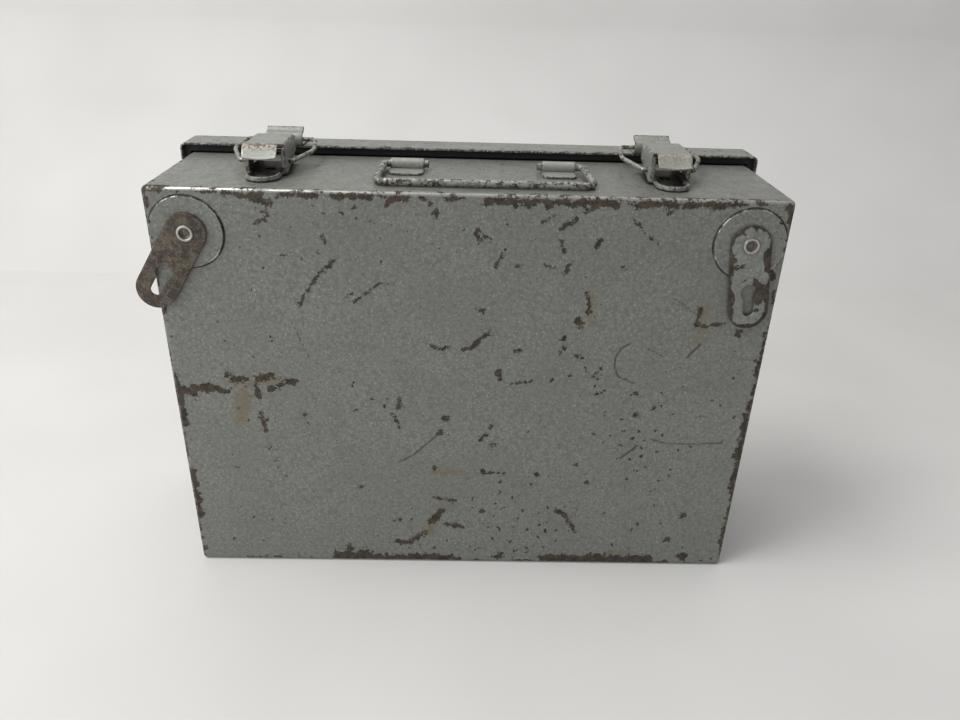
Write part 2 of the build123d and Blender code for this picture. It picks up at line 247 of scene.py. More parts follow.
def place_mm(matrix):
    """The matrix with its translation scaled from millimetres."""
    result = matrix.copy()
    result.translation = matrix.translation * MM
    return result


def lathe(name, profile, places, segments, capped=True):
    """A round part turned from an (r, z) profile, once at each place."""
    points = []
    faces = []
    for place in places:
        start = len(points)
        for radius, height in profile:
            for i in range(segments):
                angle = 2 * math.pi * i / segments
                across, along = radius * math.cos(angle), radius * math.sin(angle)
                points.append(place @ Vector((across, along, height)))
        for ring in range(len(profile) - 1):
            for i in range(segments):
                a = start + ring * segments + i
                b = start + ring * segments + (i + 1) % segments
                faces.append((a, b, b + segments, a + segments))
        last = start + (len(profile) - 1) * segments
        if not capped:
            for i in range(segments):
                a, b = start + i, start + (i + 1) % segments
                faces.append((b, a, last + i, last + (i + 1) % segments))
            continue
        faces.append(tuple(start + i for i in reversed(range(segments))))
        faces.append(tuple(last + i for i in range(segments)))
    return add_mesh(name, points, faces)


def facing(axis, origin):
    """Placement whose local Z looks along axis, with its origin in millimetres."""
    turn = Vector(axis).to_track_quat("Z", "Y").to_matrix().to_4x4()
    return Matrix.Translation(Vector(origin)) @ turn


def grid_lines(low, high, step, extra=()):
    """Evenly spaced grid lines from low to high, with the extra places among them."""
    count = max(1, round((high - low) / step))
    lines = [low + (high - low) * i / count for i in range(count + 1)]
    for place in extra:
        nearest = min(range(len(lines)), key=lambda i: abs(lines[i] - place))
        lines[nearest] = place
    return lines


def cell_surface(name, xs, ys, zs, inside, open_at):
    """The outer quads of a block of grid cells, left open where open_at(centre, axis, way) says so."""
    lines = (xs, ys, zs)
    counts = [len(line) - 1 for line in lines]
    numbers = {}
    points = []
    faces = []

    def number(key):
        if key not in numbers:
            numbers[key] = len(points)
            points.append(tuple(lines[axis][key[axis]] for axis in range(3)))
        return numbers[key]

    def centre(cell):
        return [(lines[axis][cell[axis]] + lines[axis][cell[axis] + 1]) / 2 for axis in range(3)]

    def filled(cell):
        return all(0 <= cell[axis] < counts[axis] for axis in range(3)) and inside(*centre(cell))

    sides = [(axis, way) for axis in range(3) for way in (-1, 1)]
    cells = [cell for cell in itertools.product(*map(range, counts)) if filled(cell)]
    for cell, (axis, way) in itertools.product(cells, sides):
        neighbour = list(cell)
        neighbour[axis] += way
        if filled(neighbour):
            continue
        middle = centre(cell)
        middle[axis] = lines[axis][cell[axis] + (way > 0)]
        if open_at(middle, axis, way):
            continue
        u, v = [other for other in range(3) if other != axis]
        corners = []
        for du, dv in ((0, 0), (1, 0), (1, 1), (0, 1)):
            key = list(cell)
            key[axis] += way > 0
            key[u] += du
            key[v] += dv
            corners.append(number(tuple(key)))
        faces.append(corners)
    piece = add_mesh(name, points, faces)
    face_outward(piece.data)
    return piece


def dent(piece, low, high, depth):
    """Presses the large faces in by up to depth, unevenly, and leaves the edges where they are."""
    for vertex in piece.data.vertices:
        place = vertex.co / MM
        gaps = sorted(min(place[a] - low[a], high[a] - place[a]) for a in range(3))
        calm = min(1.0, max(0.0, (gaps[1] - 3) / 30))
        wave = noise.noise(place / 75) * 0.6 + noise.noise(place / 26 + Vector((7, 3, 1))) * 0.3
        vertex.co -= vertex.normal * depth * MM * calm * (0.5 + 0.5 * wave)


# ------------------------------------------------------------- material helpers
class Graph:
    """A material's node tree, written as short expressions. Plain numbers or sockets go in."""

    def __init__(self, name):
        self.material = bpy.data.materials.new(name)
        self.material.use_nodes = True
        self.tree = self.material.node_tree
        self.tree.nodes.clear()
        self.place = self.new("ShaderNodeTexCoord").outputs["Object"]

    def new(self, kind, inputs=None, **settings):
        node = self.tree.nodes.new(kind)
        for key, value in settings.items():
            setattr(node, key, value)
        for key, value in (inputs or {}).items():
            self.feed(node.inputs[key], value)
        return node

    def feed(self, socket, value):
        if isinstance(value, bpy.types.NodeSocket):
            self.tree.links.new(value, socket)
        else:
            socket.default_value = value

    def math(self, operation, a, b=0.0):
        node = self.new("ShaderNodeMath", operation=operation)
        self.feed(node.inputs[0], a)
        self.feed(node.inputs[1], b)
        return node.outputs[0]

    def plus(self, a, b):
        return self.math("ADD", a, b)

    def less(self, a, b):
        return self.math("SUBTRACT", a, b)

    def times(self, a, b):
        return self.math("MULTIPLY", a, b)

    def most(self, a, b):
        return self.math("MAXIMUM", a, b)

    def least(self, a, b):
        return self.math("MINIMUM", a, b)

    def absolute(self, a):
        return self.math("ABSOLUTE", a)

    def away(self, a, b):
        return self.vector("SUBTRACT", a, b)

    def distance(self, a, b):
        return self.vector("LENGTH", self.away(a, b))

    def vector(self, operation, a, b=(0, 0, 0)):
        node = self.new("ShaderNodeVectorMath", operation=operation)
        self.feed(node.inputs[0], a)
        self.feed(node.inputs[1], b)
        return node.outputs["Value" if operation in ("LENGTH", "DOT_PRODUCT") else "Vector"]

    def noise(self, size, detail, roughness, shift=0.0):
        """Noise from 0 to 1 with features of about size millimetres."""
        where = self.place
        if shift:
            where = self.vector("ADD", where, (shift, shift * 0.7, -shift))
        inputs = {"Vector": where, "Scale": 1 / (size * MM), "Detail": detail, "Roughness": roughness}
        return self.new("ShaderNodeTexNoise", inputs).outputs["Fac"]

    def cells(self, size, feature, shift=0.0):
        """Distance within cells of about size millimetres."""
        where = self.vector("ADD", self.place, (shift, shift, shift))
        inputs = {"Vector": where, "Scale": 1 / (size * MM)}
        return self.new("ShaderNodeTexVoronoi", inputs, feature=feature).outputs["Distance"]

    def step(self, value, low, high, out_low=0.0, out_high=1.0):
        """Smooth step of value between low and high."""
        inputs = {"Value": value, "From Min": low, "From Max": high}
        inputs.update({"To Min": out_low, "To Max": out_high})
        return self.new("ShaderNodeMapRange", inputs, interpolation_type="SMOOTHSTEP").outputs["Result"]

    def mix(self, factor, a, b):
        """Colour a where factor is 0 and b where it is 1."""
        node = self.new("ShaderNodeMix", data_type="RGBA")
        self.feed(node.inputs[0], factor)
        self.feed(node.inputs[6], a)
        self.feed(node.inputs[7], b)
        return node.outputs[2]

    def blend(self, factor, a, b):
        """Number a where factor is 0 and b where it is 1."""
        node = self.new("ShaderNodeMix", data_type="FLOAT")
        self.feed(node.inputs[0], factor)
        self.feed(node.inputs[2], a)
        self.feed(node.inputs[3], b)
        return node.outputs[0]

    def axes(self):
        """x, y and z of the place, in metres."""
        return self.new("ShaderNodeSeparateXYZ", {"Vector": self.place}).outputs

    def stored(self, name):
        """A value stored on the mesh's vertices."""
        return self.new("ShaderNodeAttribute", attribute_name=name).outputs["Fac"]

    def bump(self, height):
        """Surface normal from a height in millimetres."""
        return self.new("ShaderNodeBump", {"Height": height, "Distance": MM}).outputs[0]

    def finish(self, **inputs):
        """Adds the shader and returns the material."""
        named = {key.replace("_", " "): value for key, value in inputs.items()}
        shader = self.new("ShaderNodeBsdfPrincipled", named)
        self.new("ShaderNodeOutputMaterial", {"Surface": shader.outputs[0]})
        return self.material


def from_line(graph, place, start, end):
    """Distance in metres from a place to the line between two points in millimetres."""
    along = (end - start) * MM
    offset = graph.away(place, tuple(start * MM))
    share = graph.math("DIVIDE", graph.vector("DOT_PRODUCT", offset, tuple(along)), along.length_squared)
    share = graph.least(graph.most(share, 0.0), 1.0)
    reach = graph.new("ShaderNodeVectorMath", {"Vector": tuple(along), "Scale": share}, operation="SCALE")
    return graph.distance(offset, reach.outputs["Vector"])


def edge_distance(graph, low, high):
    """Distance in metres from a surface point of the box low..high to its nearest edge."""
    gaps = []
    for axis, place in enumerate(graph.axes()):
        from_low = graph.less(place, low[axis] * MM)
        from_high = graph.less(high[axis] * MM, place)
        gaps.append(graph.absolute(graph.least(from_low, from_high)))
    small = graph.least(gaps[0], gaps[1])
    large = graph.most(gaps[0], gaps[1])
    return graph.most(small, graph.least(large, gaps[2]))


# --------------------------------------------------------------------- colours
PAINT = (0.234, 0.243, 0.220, 1)
PAINT_DARK = (0.170, 0.178, 0.161, 1)
PAINT_LIGHT = (0.400, 0.412, 0.380, 1)
CHIP_DARK = (0.022, 0.017, 0.014, 1)
CHIP_BROWN = (0.062, 0.046, 0.032, 1)
CHIP_PALE = (0.185, 0.152, 0.110, 1)
OCHRE = (0.185, 0.145, 0.080, 1)
BARE = (0.42, 0.41, 0.38, 1)
# Near black for painted shadow in the gap under the lid, and painted shade with dirt under the latches.
SHADE_AND_SOOT = (0.008, 0.008, 0.008, 1)
PAINT_METALLIC = 0.35


def hammertone(graph):
    """Colour and height of the paint itself: fine mottled cells with pale flecks."""
    grain = graph.cells(1.9, "SMOOTH_F1")
    dots = graph.step(graph.cells(1.6, "F1", 0.17), 0.5, 0.12, 0.0, 0.75)
    pale = graph.step(graph.noise(1.4, 3.0, 0.6, 0.11), 0.42, 0.62, 0.1, 1.0)
    flecks = graph.times(dots, pale)
    clouds = graph.noise(38, 3.0, 0.5, 0.23)
    colour = graph.mix(graph.step(grain, 0.15, 0.75), PAINT, PAINT_DARK)
    colour = graph.mix(flecks, colour, PAINT_LIGHT)
    colour = graph.mix(graph.step(clouds, 0.35, 0.75, 0, 0.35), colour, PAINT_DARK)
    pinholes = graph.step(graph.noise(1.0, 2.0, 0.6, 0.71), 0.36, 0.27, 0.0, 0.75)
    return graph.mix(pinholes, colour, CHIP_DARK), grain


def rust_colour(graph):
    """Brown steel under the paint, from near black to pale brown."""
    patches = graph.noise(3.2, 4.0, 0.65, 0.31)
    grit = graph.noise(0.8, 2.0, 0.7, 0.37)
    colour = graph.mix(graph.step(patches, 0.35, 0.62), CHIP_DARK, CHIP_BROWN)
    return graph.mix(graph.step(grit, 0.55, 0.8, 0, 0.7), colour, CHIP_PALE)


def painted(graph, chip, depth=0.10, stain=None, bright=None, polish=None):
    """A finish of hammertone paint with chip as the distance to bare steel, in metres, negative inside.

    bright is how much of the bare steel shines, and polish how far the paint is rubbed to metal.
    """
    paint, grain = hammertone(graph)
    if stain is not None:
        amount, tint = stain
        paint = graph.mix(amount, paint, tint)
    bare = graph.step(chip, 0.00012, -0.00012)
    rim = graph.times(graph.step(chip, 0.0006, 0.0, 0, 0.55), graph.less(1.0, bare))
    paint = graph.mix(rim, paint, CHIP_DARK)
    if polish is not None:
        paint = graph.mix(polish, paint, BARE)
    under = rust_colour(graph)
    if bright is not None:
        under = graph.mix(bright, under, BARE)
    colour = graph.mix(bare, paint, under)
    gloss = graph.step(graph.noise(9, 3.0, 0.6, 0.41), 0.3, 0.7, 0.35, 0.5)
    metal = PAINT_METALLIC
    if polish is not None:
        gloss = graph.blend(polish, gloss, 0.3)
        metal = graph.blend(polish, metal, 0.85)
    gloss = graph.blend(bare, gloss, 0.72)
    metallic = graph.blend(bare, metal, 0.15 if bright is None else graph.blend(bright, 0.15, 0.9))
    grit = graph.noise(0.7, 3.0, 0.7, 0.47)
    height = graph.times(grain, 0.045)
    height = graph.less(height, graph.times(bare, depth))
    height = graph.plus(height, graph.times(graph.times(grit, bare), 0.06))
    return graph.finish(Base_Color=colour, Roughness=gloss, Metallic=metallic, Normal=graph.bump(height))


# -------------------------------------------------------------- wear of the front
# Each mark is its half width and then the points it runs through: (x, z) in millimetres.
TOP_CHIPS = [
    (0.9, (-127, 235), (-78, 235.5)), (2.3, (-108, 234), (-102, 231.5)), (1.8, (-68, 235), (-50, 234.5)),
    (1.1, (-43, 233), (-38, 234.5), (-32, 234.5)), (0.9, (-25, 235), (-20, 233)),
    (0.9, (-17, 231), (-17, 227)), (0.7, (-12, 235.5), (-5, 235.5)), (1.7, (8, 234.5), (14, 235)),
    (1.9, (20, 234.5), (73, 235)), (1.9, (38, 232)), (1.7, (59, 231)), (0.9, (80, 235)),
    (1.7, (85, 235), (105, 235)), (1.6, (100, 231.5)), (1.6, (108, 235), (138, 236)),
]
CHIPS = [
    (0.7, (-108, 228), (-103, 225), (-105, 222), (-110, 220)), (1.1, (-59, 230)), (1.3, (-51, 224)),
    (0.9, (-76, 215), (-75, 211)), (1.1, (-79, 205)), (1.1, (-87, 201)), (0.6, (-98, 203), (-95, 203)),
    (1.0, (-70, 202), (-76, 196), (-82, 190)), (0.8, (-82, 190), (-91, 175)), (1.2, (-91, 177)),
    (0.7, (-67, 180), (-62, 183)), (0.6, (-61, 178), (-53, 185), (-46, 190), (-42, 188)),
    (0.9, (3, 219), (5, 213)), (0.9, (4, 219), (10, 214)), (0.9, (18, 209), (14, 200)), (1.2, (25, 200)),
    (0.9, (37, 224), (42, 228)), (1.4, (47, 221), (53, 226)), (0.8, (47, 215), (49, 208)),
    (1.2, (52, 202), (50, 197)), (0.8, (40, 201), (44, 200)), (1.3, (67, 215), (65, 211)),
    (1.0, (83, 227), (89, 221)), (1.5, (93, 217)), (1.3, (81, 201)), (1.2, (63, 186), (65, 175)),
    (2.0, (59, 170), (61, 167)), (1.5, (7, 174)), (1.7, (52, 159)), (1.1, (51, 150), (54, 154)),
    (1.3, (60, 148), (63, 148)), (1.1, (26, 151), (29, 151)), (1.1, (-20, 153), (-17, 151), (-11, 152)),
    (1.3, (-3, 151), (2, 152), (7, 158), (12, 163)), (1.8, (17, 138), (18, 133)), (2.4, (148, 164)),
    (1.4, (125, 178), (124, 168)), (0.9, (128, 168), (139, 170)), (0.8, (25, 130), (36, 132)),
    (1.6, (48, 133)), (1.2, (58, 136)), (0.6, (66, 141), (69, 136), (74, 135), (75, 142)),
    (0.8, (72, 123), (78, 126)), (2.0, (96, 125)), (1.8, (97, 111)), (1.4, (107, 116)),
    (2.2, (-12, 106)), (2.2, (-15, 97)), (1.6, (14, 101)), (1.3, (8, 92), (12, 96)),
    (1.1, (15, 89), (18, 89)), (1.0, (38, 91)), (1.2, (75, 98)), (2.6, (163, 87), (161, 84)),
    (1.7, (-18, 72)), (1.9, (10, 70)), (0.8, (12, 69), (24, 69)), (1.6, (43, 68)), (1.0, (21, 62)),
    (1.3, (66, 76)), (1.8, (74, 63)), (1.1, (-18, 50), (-6, 48)), (1.7, (11, 40)), (1.2, (5, 50)),
    (1.5, (57, 42), (63, 37), (70, 25)), (2.5, (136, 39)), (2.3, (128, 20)), (1.2, (108, 32)),
    (1.4, (-118, 108), (-116, 96)), (1.6, (-115, 84)), (1.8, (-38, 119), (-39, 113)),
    (1.0, (-42, 109), (-39, 100)), (1.3, (-93, 107)), (1.1, (-91, 101)), (1.4, (-40, 33)),
    (1.2, (-63, 57)), (1.6, (-42, 16), (-34, 15), (-24, 24)), (2.2, (-14, 40), (-20, 32)),
    (1.6, (-11, 30), (-1, 28)),
]
BLOTCHES = [
    (2.6, (-164, 124), (-154, 120)), (2.3, (-153, 124), (-134, 123)), (2.0, (-134, 131), (-124, 129)),
    (1.9, (-119, 131), (-108, 133)), (1.3, (-118, 127), (-118, 119)), (1.5, (-111, 124), (-96, 130)),
]
BOTTOM_CHIPS = [
    (4.5, (-78, 3), (-61, 4)), (3.0, (-71, 10)), (3.0, (-55, 2), (-8, 3)), (2.6, (22, 5)),
    (4.0, (52, 3), (118, 3)), (3.0, (140, 6)), (2.2, (-162, 100), (-163, 130)),
    (2.6, (-163, 35), (-163, 68)), (2.0, (163, 60), (163, 120)), (3.0, (-162, 217)),
    (2.2, (164, 12), (164, 40)), (2.4, (-165, 238), (-152, 238)), (2.6, (-165, 236), (-165, 228)),
    (1.8, (165, 225), (162, 234)), (2.2, (165, 165), (163, 140)), (2.0, (150, 231), (157, 227)),
    (1.6, (158, 205), (160, 196)),
]
SCRATCHES = [
    (0.3, (-96, 167), (-88, 145)),
    (0.5, (90, 157), (85, 154), (82, 148), (82, 142), (85, 136), (94, 132)),
    (0.45, (108, 95), (118, 92), (136, 92), (151, 93)), (0.35, (110, 184), (122, 176)),
    (0.35, (99, 154), (109, 149)), (0.4, (-15, 97), (-31, 81), (-39, 76)), (0.6, (92, 81), (101, 90)),
    (0.6, (128, 157), (122, 149)), (0.4, (-140, 71), (-134, 70)),
]
STAINS = [
    (4.0, (-126, 120), (-130, 104)), (3.0, (-134, 128), (-108, 130)), (2.2, (-24, 22), (-14, 40)),
    (2.0, (-17, 69), (-5, 69)), (3.0, (-147, 230), (-146, 222)), (2.4, (-137, 226), (-131, 212)),
    (1.6, (65, 184), (66, 170)), (2.4, (126, 178), (127, 160)), (1.4, (-103, 82)),
    (2.0, (92, 8), (102, 9)), (2.2, (-131, 212), (-138, 200)),
]
# How far from a mark its distance is stored, in millimetres.
REACH = 8.0
PATCHES = TOP_CHIPS + BOTTOM_CHIPS + BLOTCHES
MARKS = {"chips": CHIPS, "patches": PATCHES, "scratches": SCRATCHES, "stains": STAINS}


def mark_distance(places, marks):
    """Distance in millimetres from each (x, z) place to the nearest mark, negative inside it."""
    nearest = np.full(len(places), REACH)
    for radius, *path in marks:
        for start, end in zip(path, path[1:] or path):
            start = np.array(start, float)
            along = np.array(end, float) - start
            share = np.clip((places - start) @ along / max(1e-9, along @ along), 0, 1)
            gap = np.linalg.norm(places - start - share[:, None] * along, axis=1) - radius
            nearest = np.minimum(nearest, gap)
    return nearest


def paint_marks(piece):
    """Stores how near each vertex of the front is to the marks, as REACH less its distance."""
    mesh = piece.data
    places = np.zeros(len(mesh.vertices) * 3)
    mesh.vertices.foreach_get("co", places)
    places = places.reshape(-1, 3) / MM
    normals = np.zeros(len(mesh.vertices) * 3)
    mesh.vertex_normals.foreach_get("vector", normals)
    outside = normals.reshape(-1, 3)[:, 1] < 0.1
    front = outside & (places[:, 1] < FRONT_Y + 3)
    for name, marks in MARKS.items():
        values = np.where(front, REACH - mark_distance(places[:, (0, 2)], marks), 0.0)
        mesh.attributes.new(name, "FLOAT", "POINT").data.foreach_set("value", values.astype(np.float32))


def refine_front(piece, cuts):
    """Divides the quads of the front's outer surface, so that it can hold the marks."""
    skin = FRONT_Y + 0.85 * SHEET
    shape = bmesh.new()
    shape.from_mesh(piece.data)
    flat = [face for face in shape.faces if face.normal.y < -0.95]
    front = [face for face in flat if face.calc_center_median().y / MM < skin]
    edges = {edge for face in front for edge in face.edges}
    bmesh.ops.subdivide_edges(shape, edges=list(edges), cuts=cuts, use_grid_fill=True)
    shape.to_mesh(piece.data)
    shape.free()


def nearness(graph, marks):
    """Distance in metres to the nearest of the marks stored on the mesh."""
    return graph.times(graph.less(REACH, graph.stored(marks)), MM)


def specks(graph, rare, common, crowding=None):
    """Small scattered chips as a distance; rare and common are the noise levels that they start at."""
    grains = graph.noise(3.6, 3.0, 0.5, 0.61)
    level = graph.step(graph.noise(55, 2.0, 0.5, 0.67), 0.35, 0.65, rare, common)
    if crowding is not None:
        level = graph.less(level, crowding)
    return graph.times(graph.less(level, grains), 0.02)


def busy_part(graph):
    """More specks low on the front, right of the middle, where the box was knocked most."""
    middle = 45
    x, _, z = graph.axes()
    aside = graph.absolute(graph.less(x, middle * MM))
    return graph.times(graph.times(graph.step(z, 0.15, 0.06), graph.step(aside, 0.10, 0.04)), 0.035)


def front_marks(graph, chip):
    """The chips with the front's own added, and the stains as (amount, colour)."""
    lumps = graph.less(graph.noise(2.3, 4.0, 0.7, 0.21), 0.5)
    large = graph.less(graph.noise(5.5, 4.0, 0.7, 0.27), 0.5)
    chips = graph.plus(graph.plus(nearness(graph, "chips"), graph.times(lumps, 0.0085)), 0.0002)
    patches = graph.plus(nearness(graph, "patches"), graph.times(large, 0.014))
    patches = graph.plus(patches, graph.times(lumps, 0.005))
    chip = graph.least(chip, graph.least(chips, patches))
    lines = graph.plus(nearness(graph, "scratches"), graph.times(lumps, 0.0012))
    scratch = graph.step(lines, 0.0005, -0.0001)
    stains = graph.plus(nearness(graph, "stains"), graph.times(large, 0.016))
    stains = graph.plus(stains, graph.times(lumps, 0.012))
    soft = graph.times(graph.step(stains, 0.0025, -0.003), 0.7)
    amount = graph.most(soft, graph.times(scratch, 0.75))
    return chip, (amount, graph.mix(scratch, OCHRE, CHIP_BROWN))


def with_shade_and_grime(graph, stain):
    """The stains with painted shadow added in the gap under the lid's front edge, and painted shade with dirt on
    the base's top under the latches.
    """
    gap_y = 26.2
    gap_z = 235
    _, y, z = graph.axes()
    # The gap mask is painted shadow under the lid's front edge; grime adds to it the latches' painted shade with
    # dirt.
    behind = graph.step(y, gap_y * MM, (gap_y + 1.3) * MM)
    gap = graph.times(behind, graph.step(z, gap_z * MM, (gap_z + 2) * MM))
    grime = graph.most(gap, latch_shade_and_grime(graph))
    return graph.most(stain[0], grime), graph.mix(grime, stain[1], SHADE_AND_SOOT)


def glinting(graph, edge):
    """Where bare steel shines: in flecks along the bends."""
    bend = graph.step(edge, 0.0022, 0.0008)
    return graph.times(bend, graph.step(graph.noise(1.6, 3.0, 0.6, 0.79), 0.5, 0.64))


def edge_wear(graph):
    """How far the paint is gone from an edge, in metres."""
    return graph.step(graph.noise(7, 5.0, 0.65, 0.53), 0.36, 0.70, -0.0003, 0.0042)


def base_paint():
    """The base's paint, with the front's own marks, painted shadow under the lid's front edge, painted shade with
    dirt under the latches and round the hanger discs, and a burnished bend along its top.
    """
    graph = Graph("hammertone_base")
    edge = edge_distance(graph, BASE_LOW, BASE_HIGH)
    burnish = top_bend(graph)
    reach = graph.less(edge_wear(graph), graph.times(burnish, 0.0035))
    chip = graph.least(graph.less(edge, reach), specks(graph, 0.77, 0.68, busy_part(graph)))
    chip, stain = front_marks(graph, chip)
    # foot is a dark line of painted crevice shade and grime round each disc, drawn as chipped paint.
    foot, rub = disc_rings(graph)
    chip = graph.least(chip, graph.less(0.0004, graph.times(foot, 0.0008)))
    # Painted shadow under the lid's edge and painted shade with dirt under the latches.
    stain = with_shade_and_grime(graph, stain)
    return painted(graph, chip, stain=stain, bright=glinting(graph, edge), polish=graph.most(burnish, rub))


def lid_paint():
    """The lid's paint, chipped along its edges and specked all over."""
    graph = Graph("hammertone_lid")
    edge = edge_distance(graph, LID_LOW, LID_HIGH)
    chip = graph.least(graph.less(edge, edge_wear(graph)), specks(graph, 0.75, 0.645))
    return painted(graph, chip, bright=glinting(graph, edge))


def disc_rings(graph):
    """A dark line of painted crevice shade and grime round the foot of each hanger disc, drawn as chipped paint,
    and the rubbed part of the discs' rims.
    """
    foot = rub = 0.0
    flat = graph.vector("MULTIPLY", graph.place, (1, 0, 1))
    near_front = graph.step(graph.axes()[1], (FRONT_Y + 3) * MM, (FRONT_Y + 2) * MM)
    broken = graph.step(graph.noise(9, 4.0, 0.7, 0.44), 0.40, 0.52)
    for side in SIDES:
        low, high = span(f"hanger_disc_{side}")
        pivot = PIVOTS[f"hanger_{side}_pivot"]
        away = graph.distance(flat, (pivot.x * MM, 0, pivot.z * MM))
        away = graph.less(away, (high.x - low.x) / 2 * MM)
        line = graph.step(graph.absolute(graph.less(away, 0.0001)), 0.0007, 0.0002)
        rim = graph.step(graph.absolute(graph.plus(away, 0.0004)), 0.0005, 0.0002)
        foot = graph.most(foot, graph.times(line, near_front))
        rub = graph.most(rub, graph.times(rim, near_front))
    worn = graph.less(1.0, broken)
    return graph.times(foot, graph.blend(broken, 0.35, 1.0)), graph.times(rub, worn)


def latch_shade_and_grime(graph):
    """1 on the base's top under the latches, where it is painted darker for shade and dirt, 0 elsewhere."""
    front, back, fade = -26, 6, 3
    x, y, z = graph.axes()
    behind = graph.step(y, front * MM, (front + fade) * MM)
    along = graph.times(behind, graph.step(y, back * MM, (back - fade) * MM))
    top = graph.times(graph.step(z, (TOP_Z - 1) * MM, (TOP_Z - 0.3) * MM), along)
    under = 0.0
    for side in SIDES:
        away = graph.absolute(graph.less(x, PIVOTS[f"lever_{side}_hinge"].x * MM))
        under = graph.most(under, graph.step(away, 0.0135, 0.0105))
    return graph.times(top, graph.times(under, 0.92))


def top_bend(graph):
    """1 on the burnished bend along the top of the front, 0 elsewhere."""
    _, y, z = graph.axes()
    near_top = graph.step(z, (TOP_Z - 2.1) * MM, (TOP_Z - 0.9) * MM)
    near_front = graph.step(y, (FRONT_Y + 2.0) * MM, (FRONT_Y + 0.9) * MM)
    thin = graph.step(graph.noise(6, 4.0, 0.7, 0.91), 0.34, 0.56, 0.1, 0.85)
    return graph.times(graph.times(near_top, near_front), thin)


def part_paint(name, worn, lighter):
    """Paint of small hardware, worn where its wear attribute is high."""
    graph = Graph(name)
    ragged = graph.noise(2.4, 4.0, 0.65, 0.83)
    level = graph.plus(graph.times(graph.stored("wear"), worn), ragged)
    chip = graph.times(graph.less(0.86, level), 0.01)
    bright = graph.times(graph.step(graph.noise(1.1, 3.0, 0.6, 0.89), 0.42, 0.6), 0.8)
    return painted(graph, chip, depth=0.05, stain=(lighter, (0.5, 0.5, 0.46, 1)), bright=bright)


def wire_paint():
    """Painted wire, rubbed bright in bands and chipped to brown."""
    graph = Graph("wire_paint")
    chip = graph.times(graph.less(0.52, graph.noise(3.4, 4.0, 0.7, 0.83)), 0.01)
    rubbed = graph.step(graph.noise(7, 4.0, 0.7, 0.36), 0.42, 0.56, 0.05, 0.9)
    bright = graph.step(graph.noise(1.4, 3.0, 0.6, 0.89), 0.5, 0.66)
    return painted(graph, chip, depth=0.05, bright=bright, polish=rubbed)


def rusted(name, base, pale):
    """Bare steel gone brown, blotched and pitted."""
    graph = Graph(name)
    clouds = graph.noise(5, 5.0, 0.7, 0.13)
    grit = graph.noise(0.9, 4.0, 0.7, 0.17)
    warm = graph.step(graph.noise(4, 3.0, 0.6, 0.19), 0.48, 0.7)
    colour = graph.mix(graph.step(clouds, 0.42, 0.6), base, pale)
    colour = graph.mix(graph.times(warm, 0.3), colour, (0.12, 0.07, 0.038, 1))
    colour = graph.mix(graph.step(grit, 0.54, 0.7, 0, 0.8), colour, (0.26, 0.235, 0.195, 1))
    colour = graph.mix(graph.step(grit, 0.42, 0.3, 0, 0.7), colour, CHIP_DARK)
    bump = graph.bump(graph.times(grit, 0.22))
    rough = graph.step(clouds, 0.3, 0.7, 0.45, 0.7)
    return graph.finish(Base_Color=colour, Roughness=rough, Metallic=0.35, Normal=bump)


def steel(name, colour, roughness, grime, scale=1.6, rubbed=False):
    """Bright or plated steel with fine scratches and dark grime, clean on worn edges where rubbed."""
    graph = Graph(name)
    dirt = graph.step(graph.noise(scale, 4.0, 0.65, 0.29), 0.35 if rubbed else 0.45, 0.68, 0, grime)
    if rubbed:
        dirt = graph.most(dirt, 0.8)
        worn = graph.plus(graph.stored("wear"), graph.times(graph.noise(1.3, 3.0, 0.7, 0.51), 0.9))
        dirt = graph.times(dirt, graph.step(worn, 1.25, 0.75))
    streaks = graph.noise(0.5, 3.0, 0.6, 0.33)
    tone = graph.mix(dirt, colour, (0.05, 0.042, 0.034, 1))
    rough = graph.step(streaks, 0.3, 0.7, roughness - 0.08, roughness + 0.14)
    metallic = graph.step(dirt, 0.0, 1.0, 0.95, 0.3)
    bump = graph.bump(graph.times(streaks, 0.03))
    return graph.finish(Base_Color=tone, Roughness=rough, Metallic=metallic, Normal=bump)


def rubber():
    """Matt black rubber with a dusty bloom."""
    graph = Graph("seal_rubber")
    bloom = graph.step(graph.noise(6, 3.0, 0.6), 0.45, 0.8, 0, 0.5)
    colour = graph.mix(bloom, (0.004, 0.004, 0.005, 1), (0.014, 0.014, 0.015, 1))
    bump = graph.bump(graph.times(graph.noise(0.5, 2.0, 0.6), 0.03))
    return graph.finish(Base_Color=colour, Roughness=graph.step(bloom, 0, 1, 0.7, 0.85), Normal=bump)


BASE_PAINT = base_paint()
LID_PAINT = lid_paint()
LATCH_PAINT = part_paint("latch_paint", 0.42, 0.12)
WORN_LATCH_PAINT = part_paint("worn_latch_paint", 0.46, 0.25)
WIRE_PAINT = wire_paint()
RUST = rusted("rusted_steel", (0.046, 0.037, 0.028, 1), (0.122, 0.103, 0.078, 1))
RIVET = steel("rivet_steel", (0.40, 0.385, 0.35, 1), 0.34, 0.7)
ROLLED = steel("rolled_rivet", (0.50, 0.48, 0.43, 1), 0.32, 0.9, rubbed=True)
PLATED = steel("plated_steel", (0.36, 0.36, 0.35, 1), 0.38, 0.5, 3.0)
# Near black steel of painted shade, with dirt, for the latch cups' floors, rails and rivets.
SHADE_AND_GRIME = rusted("latch_shade_and_grime", (0.006, 0.006, 0.006, 1), (0.018, 0.017, 0.016, 1))
RUBBER = rubber()


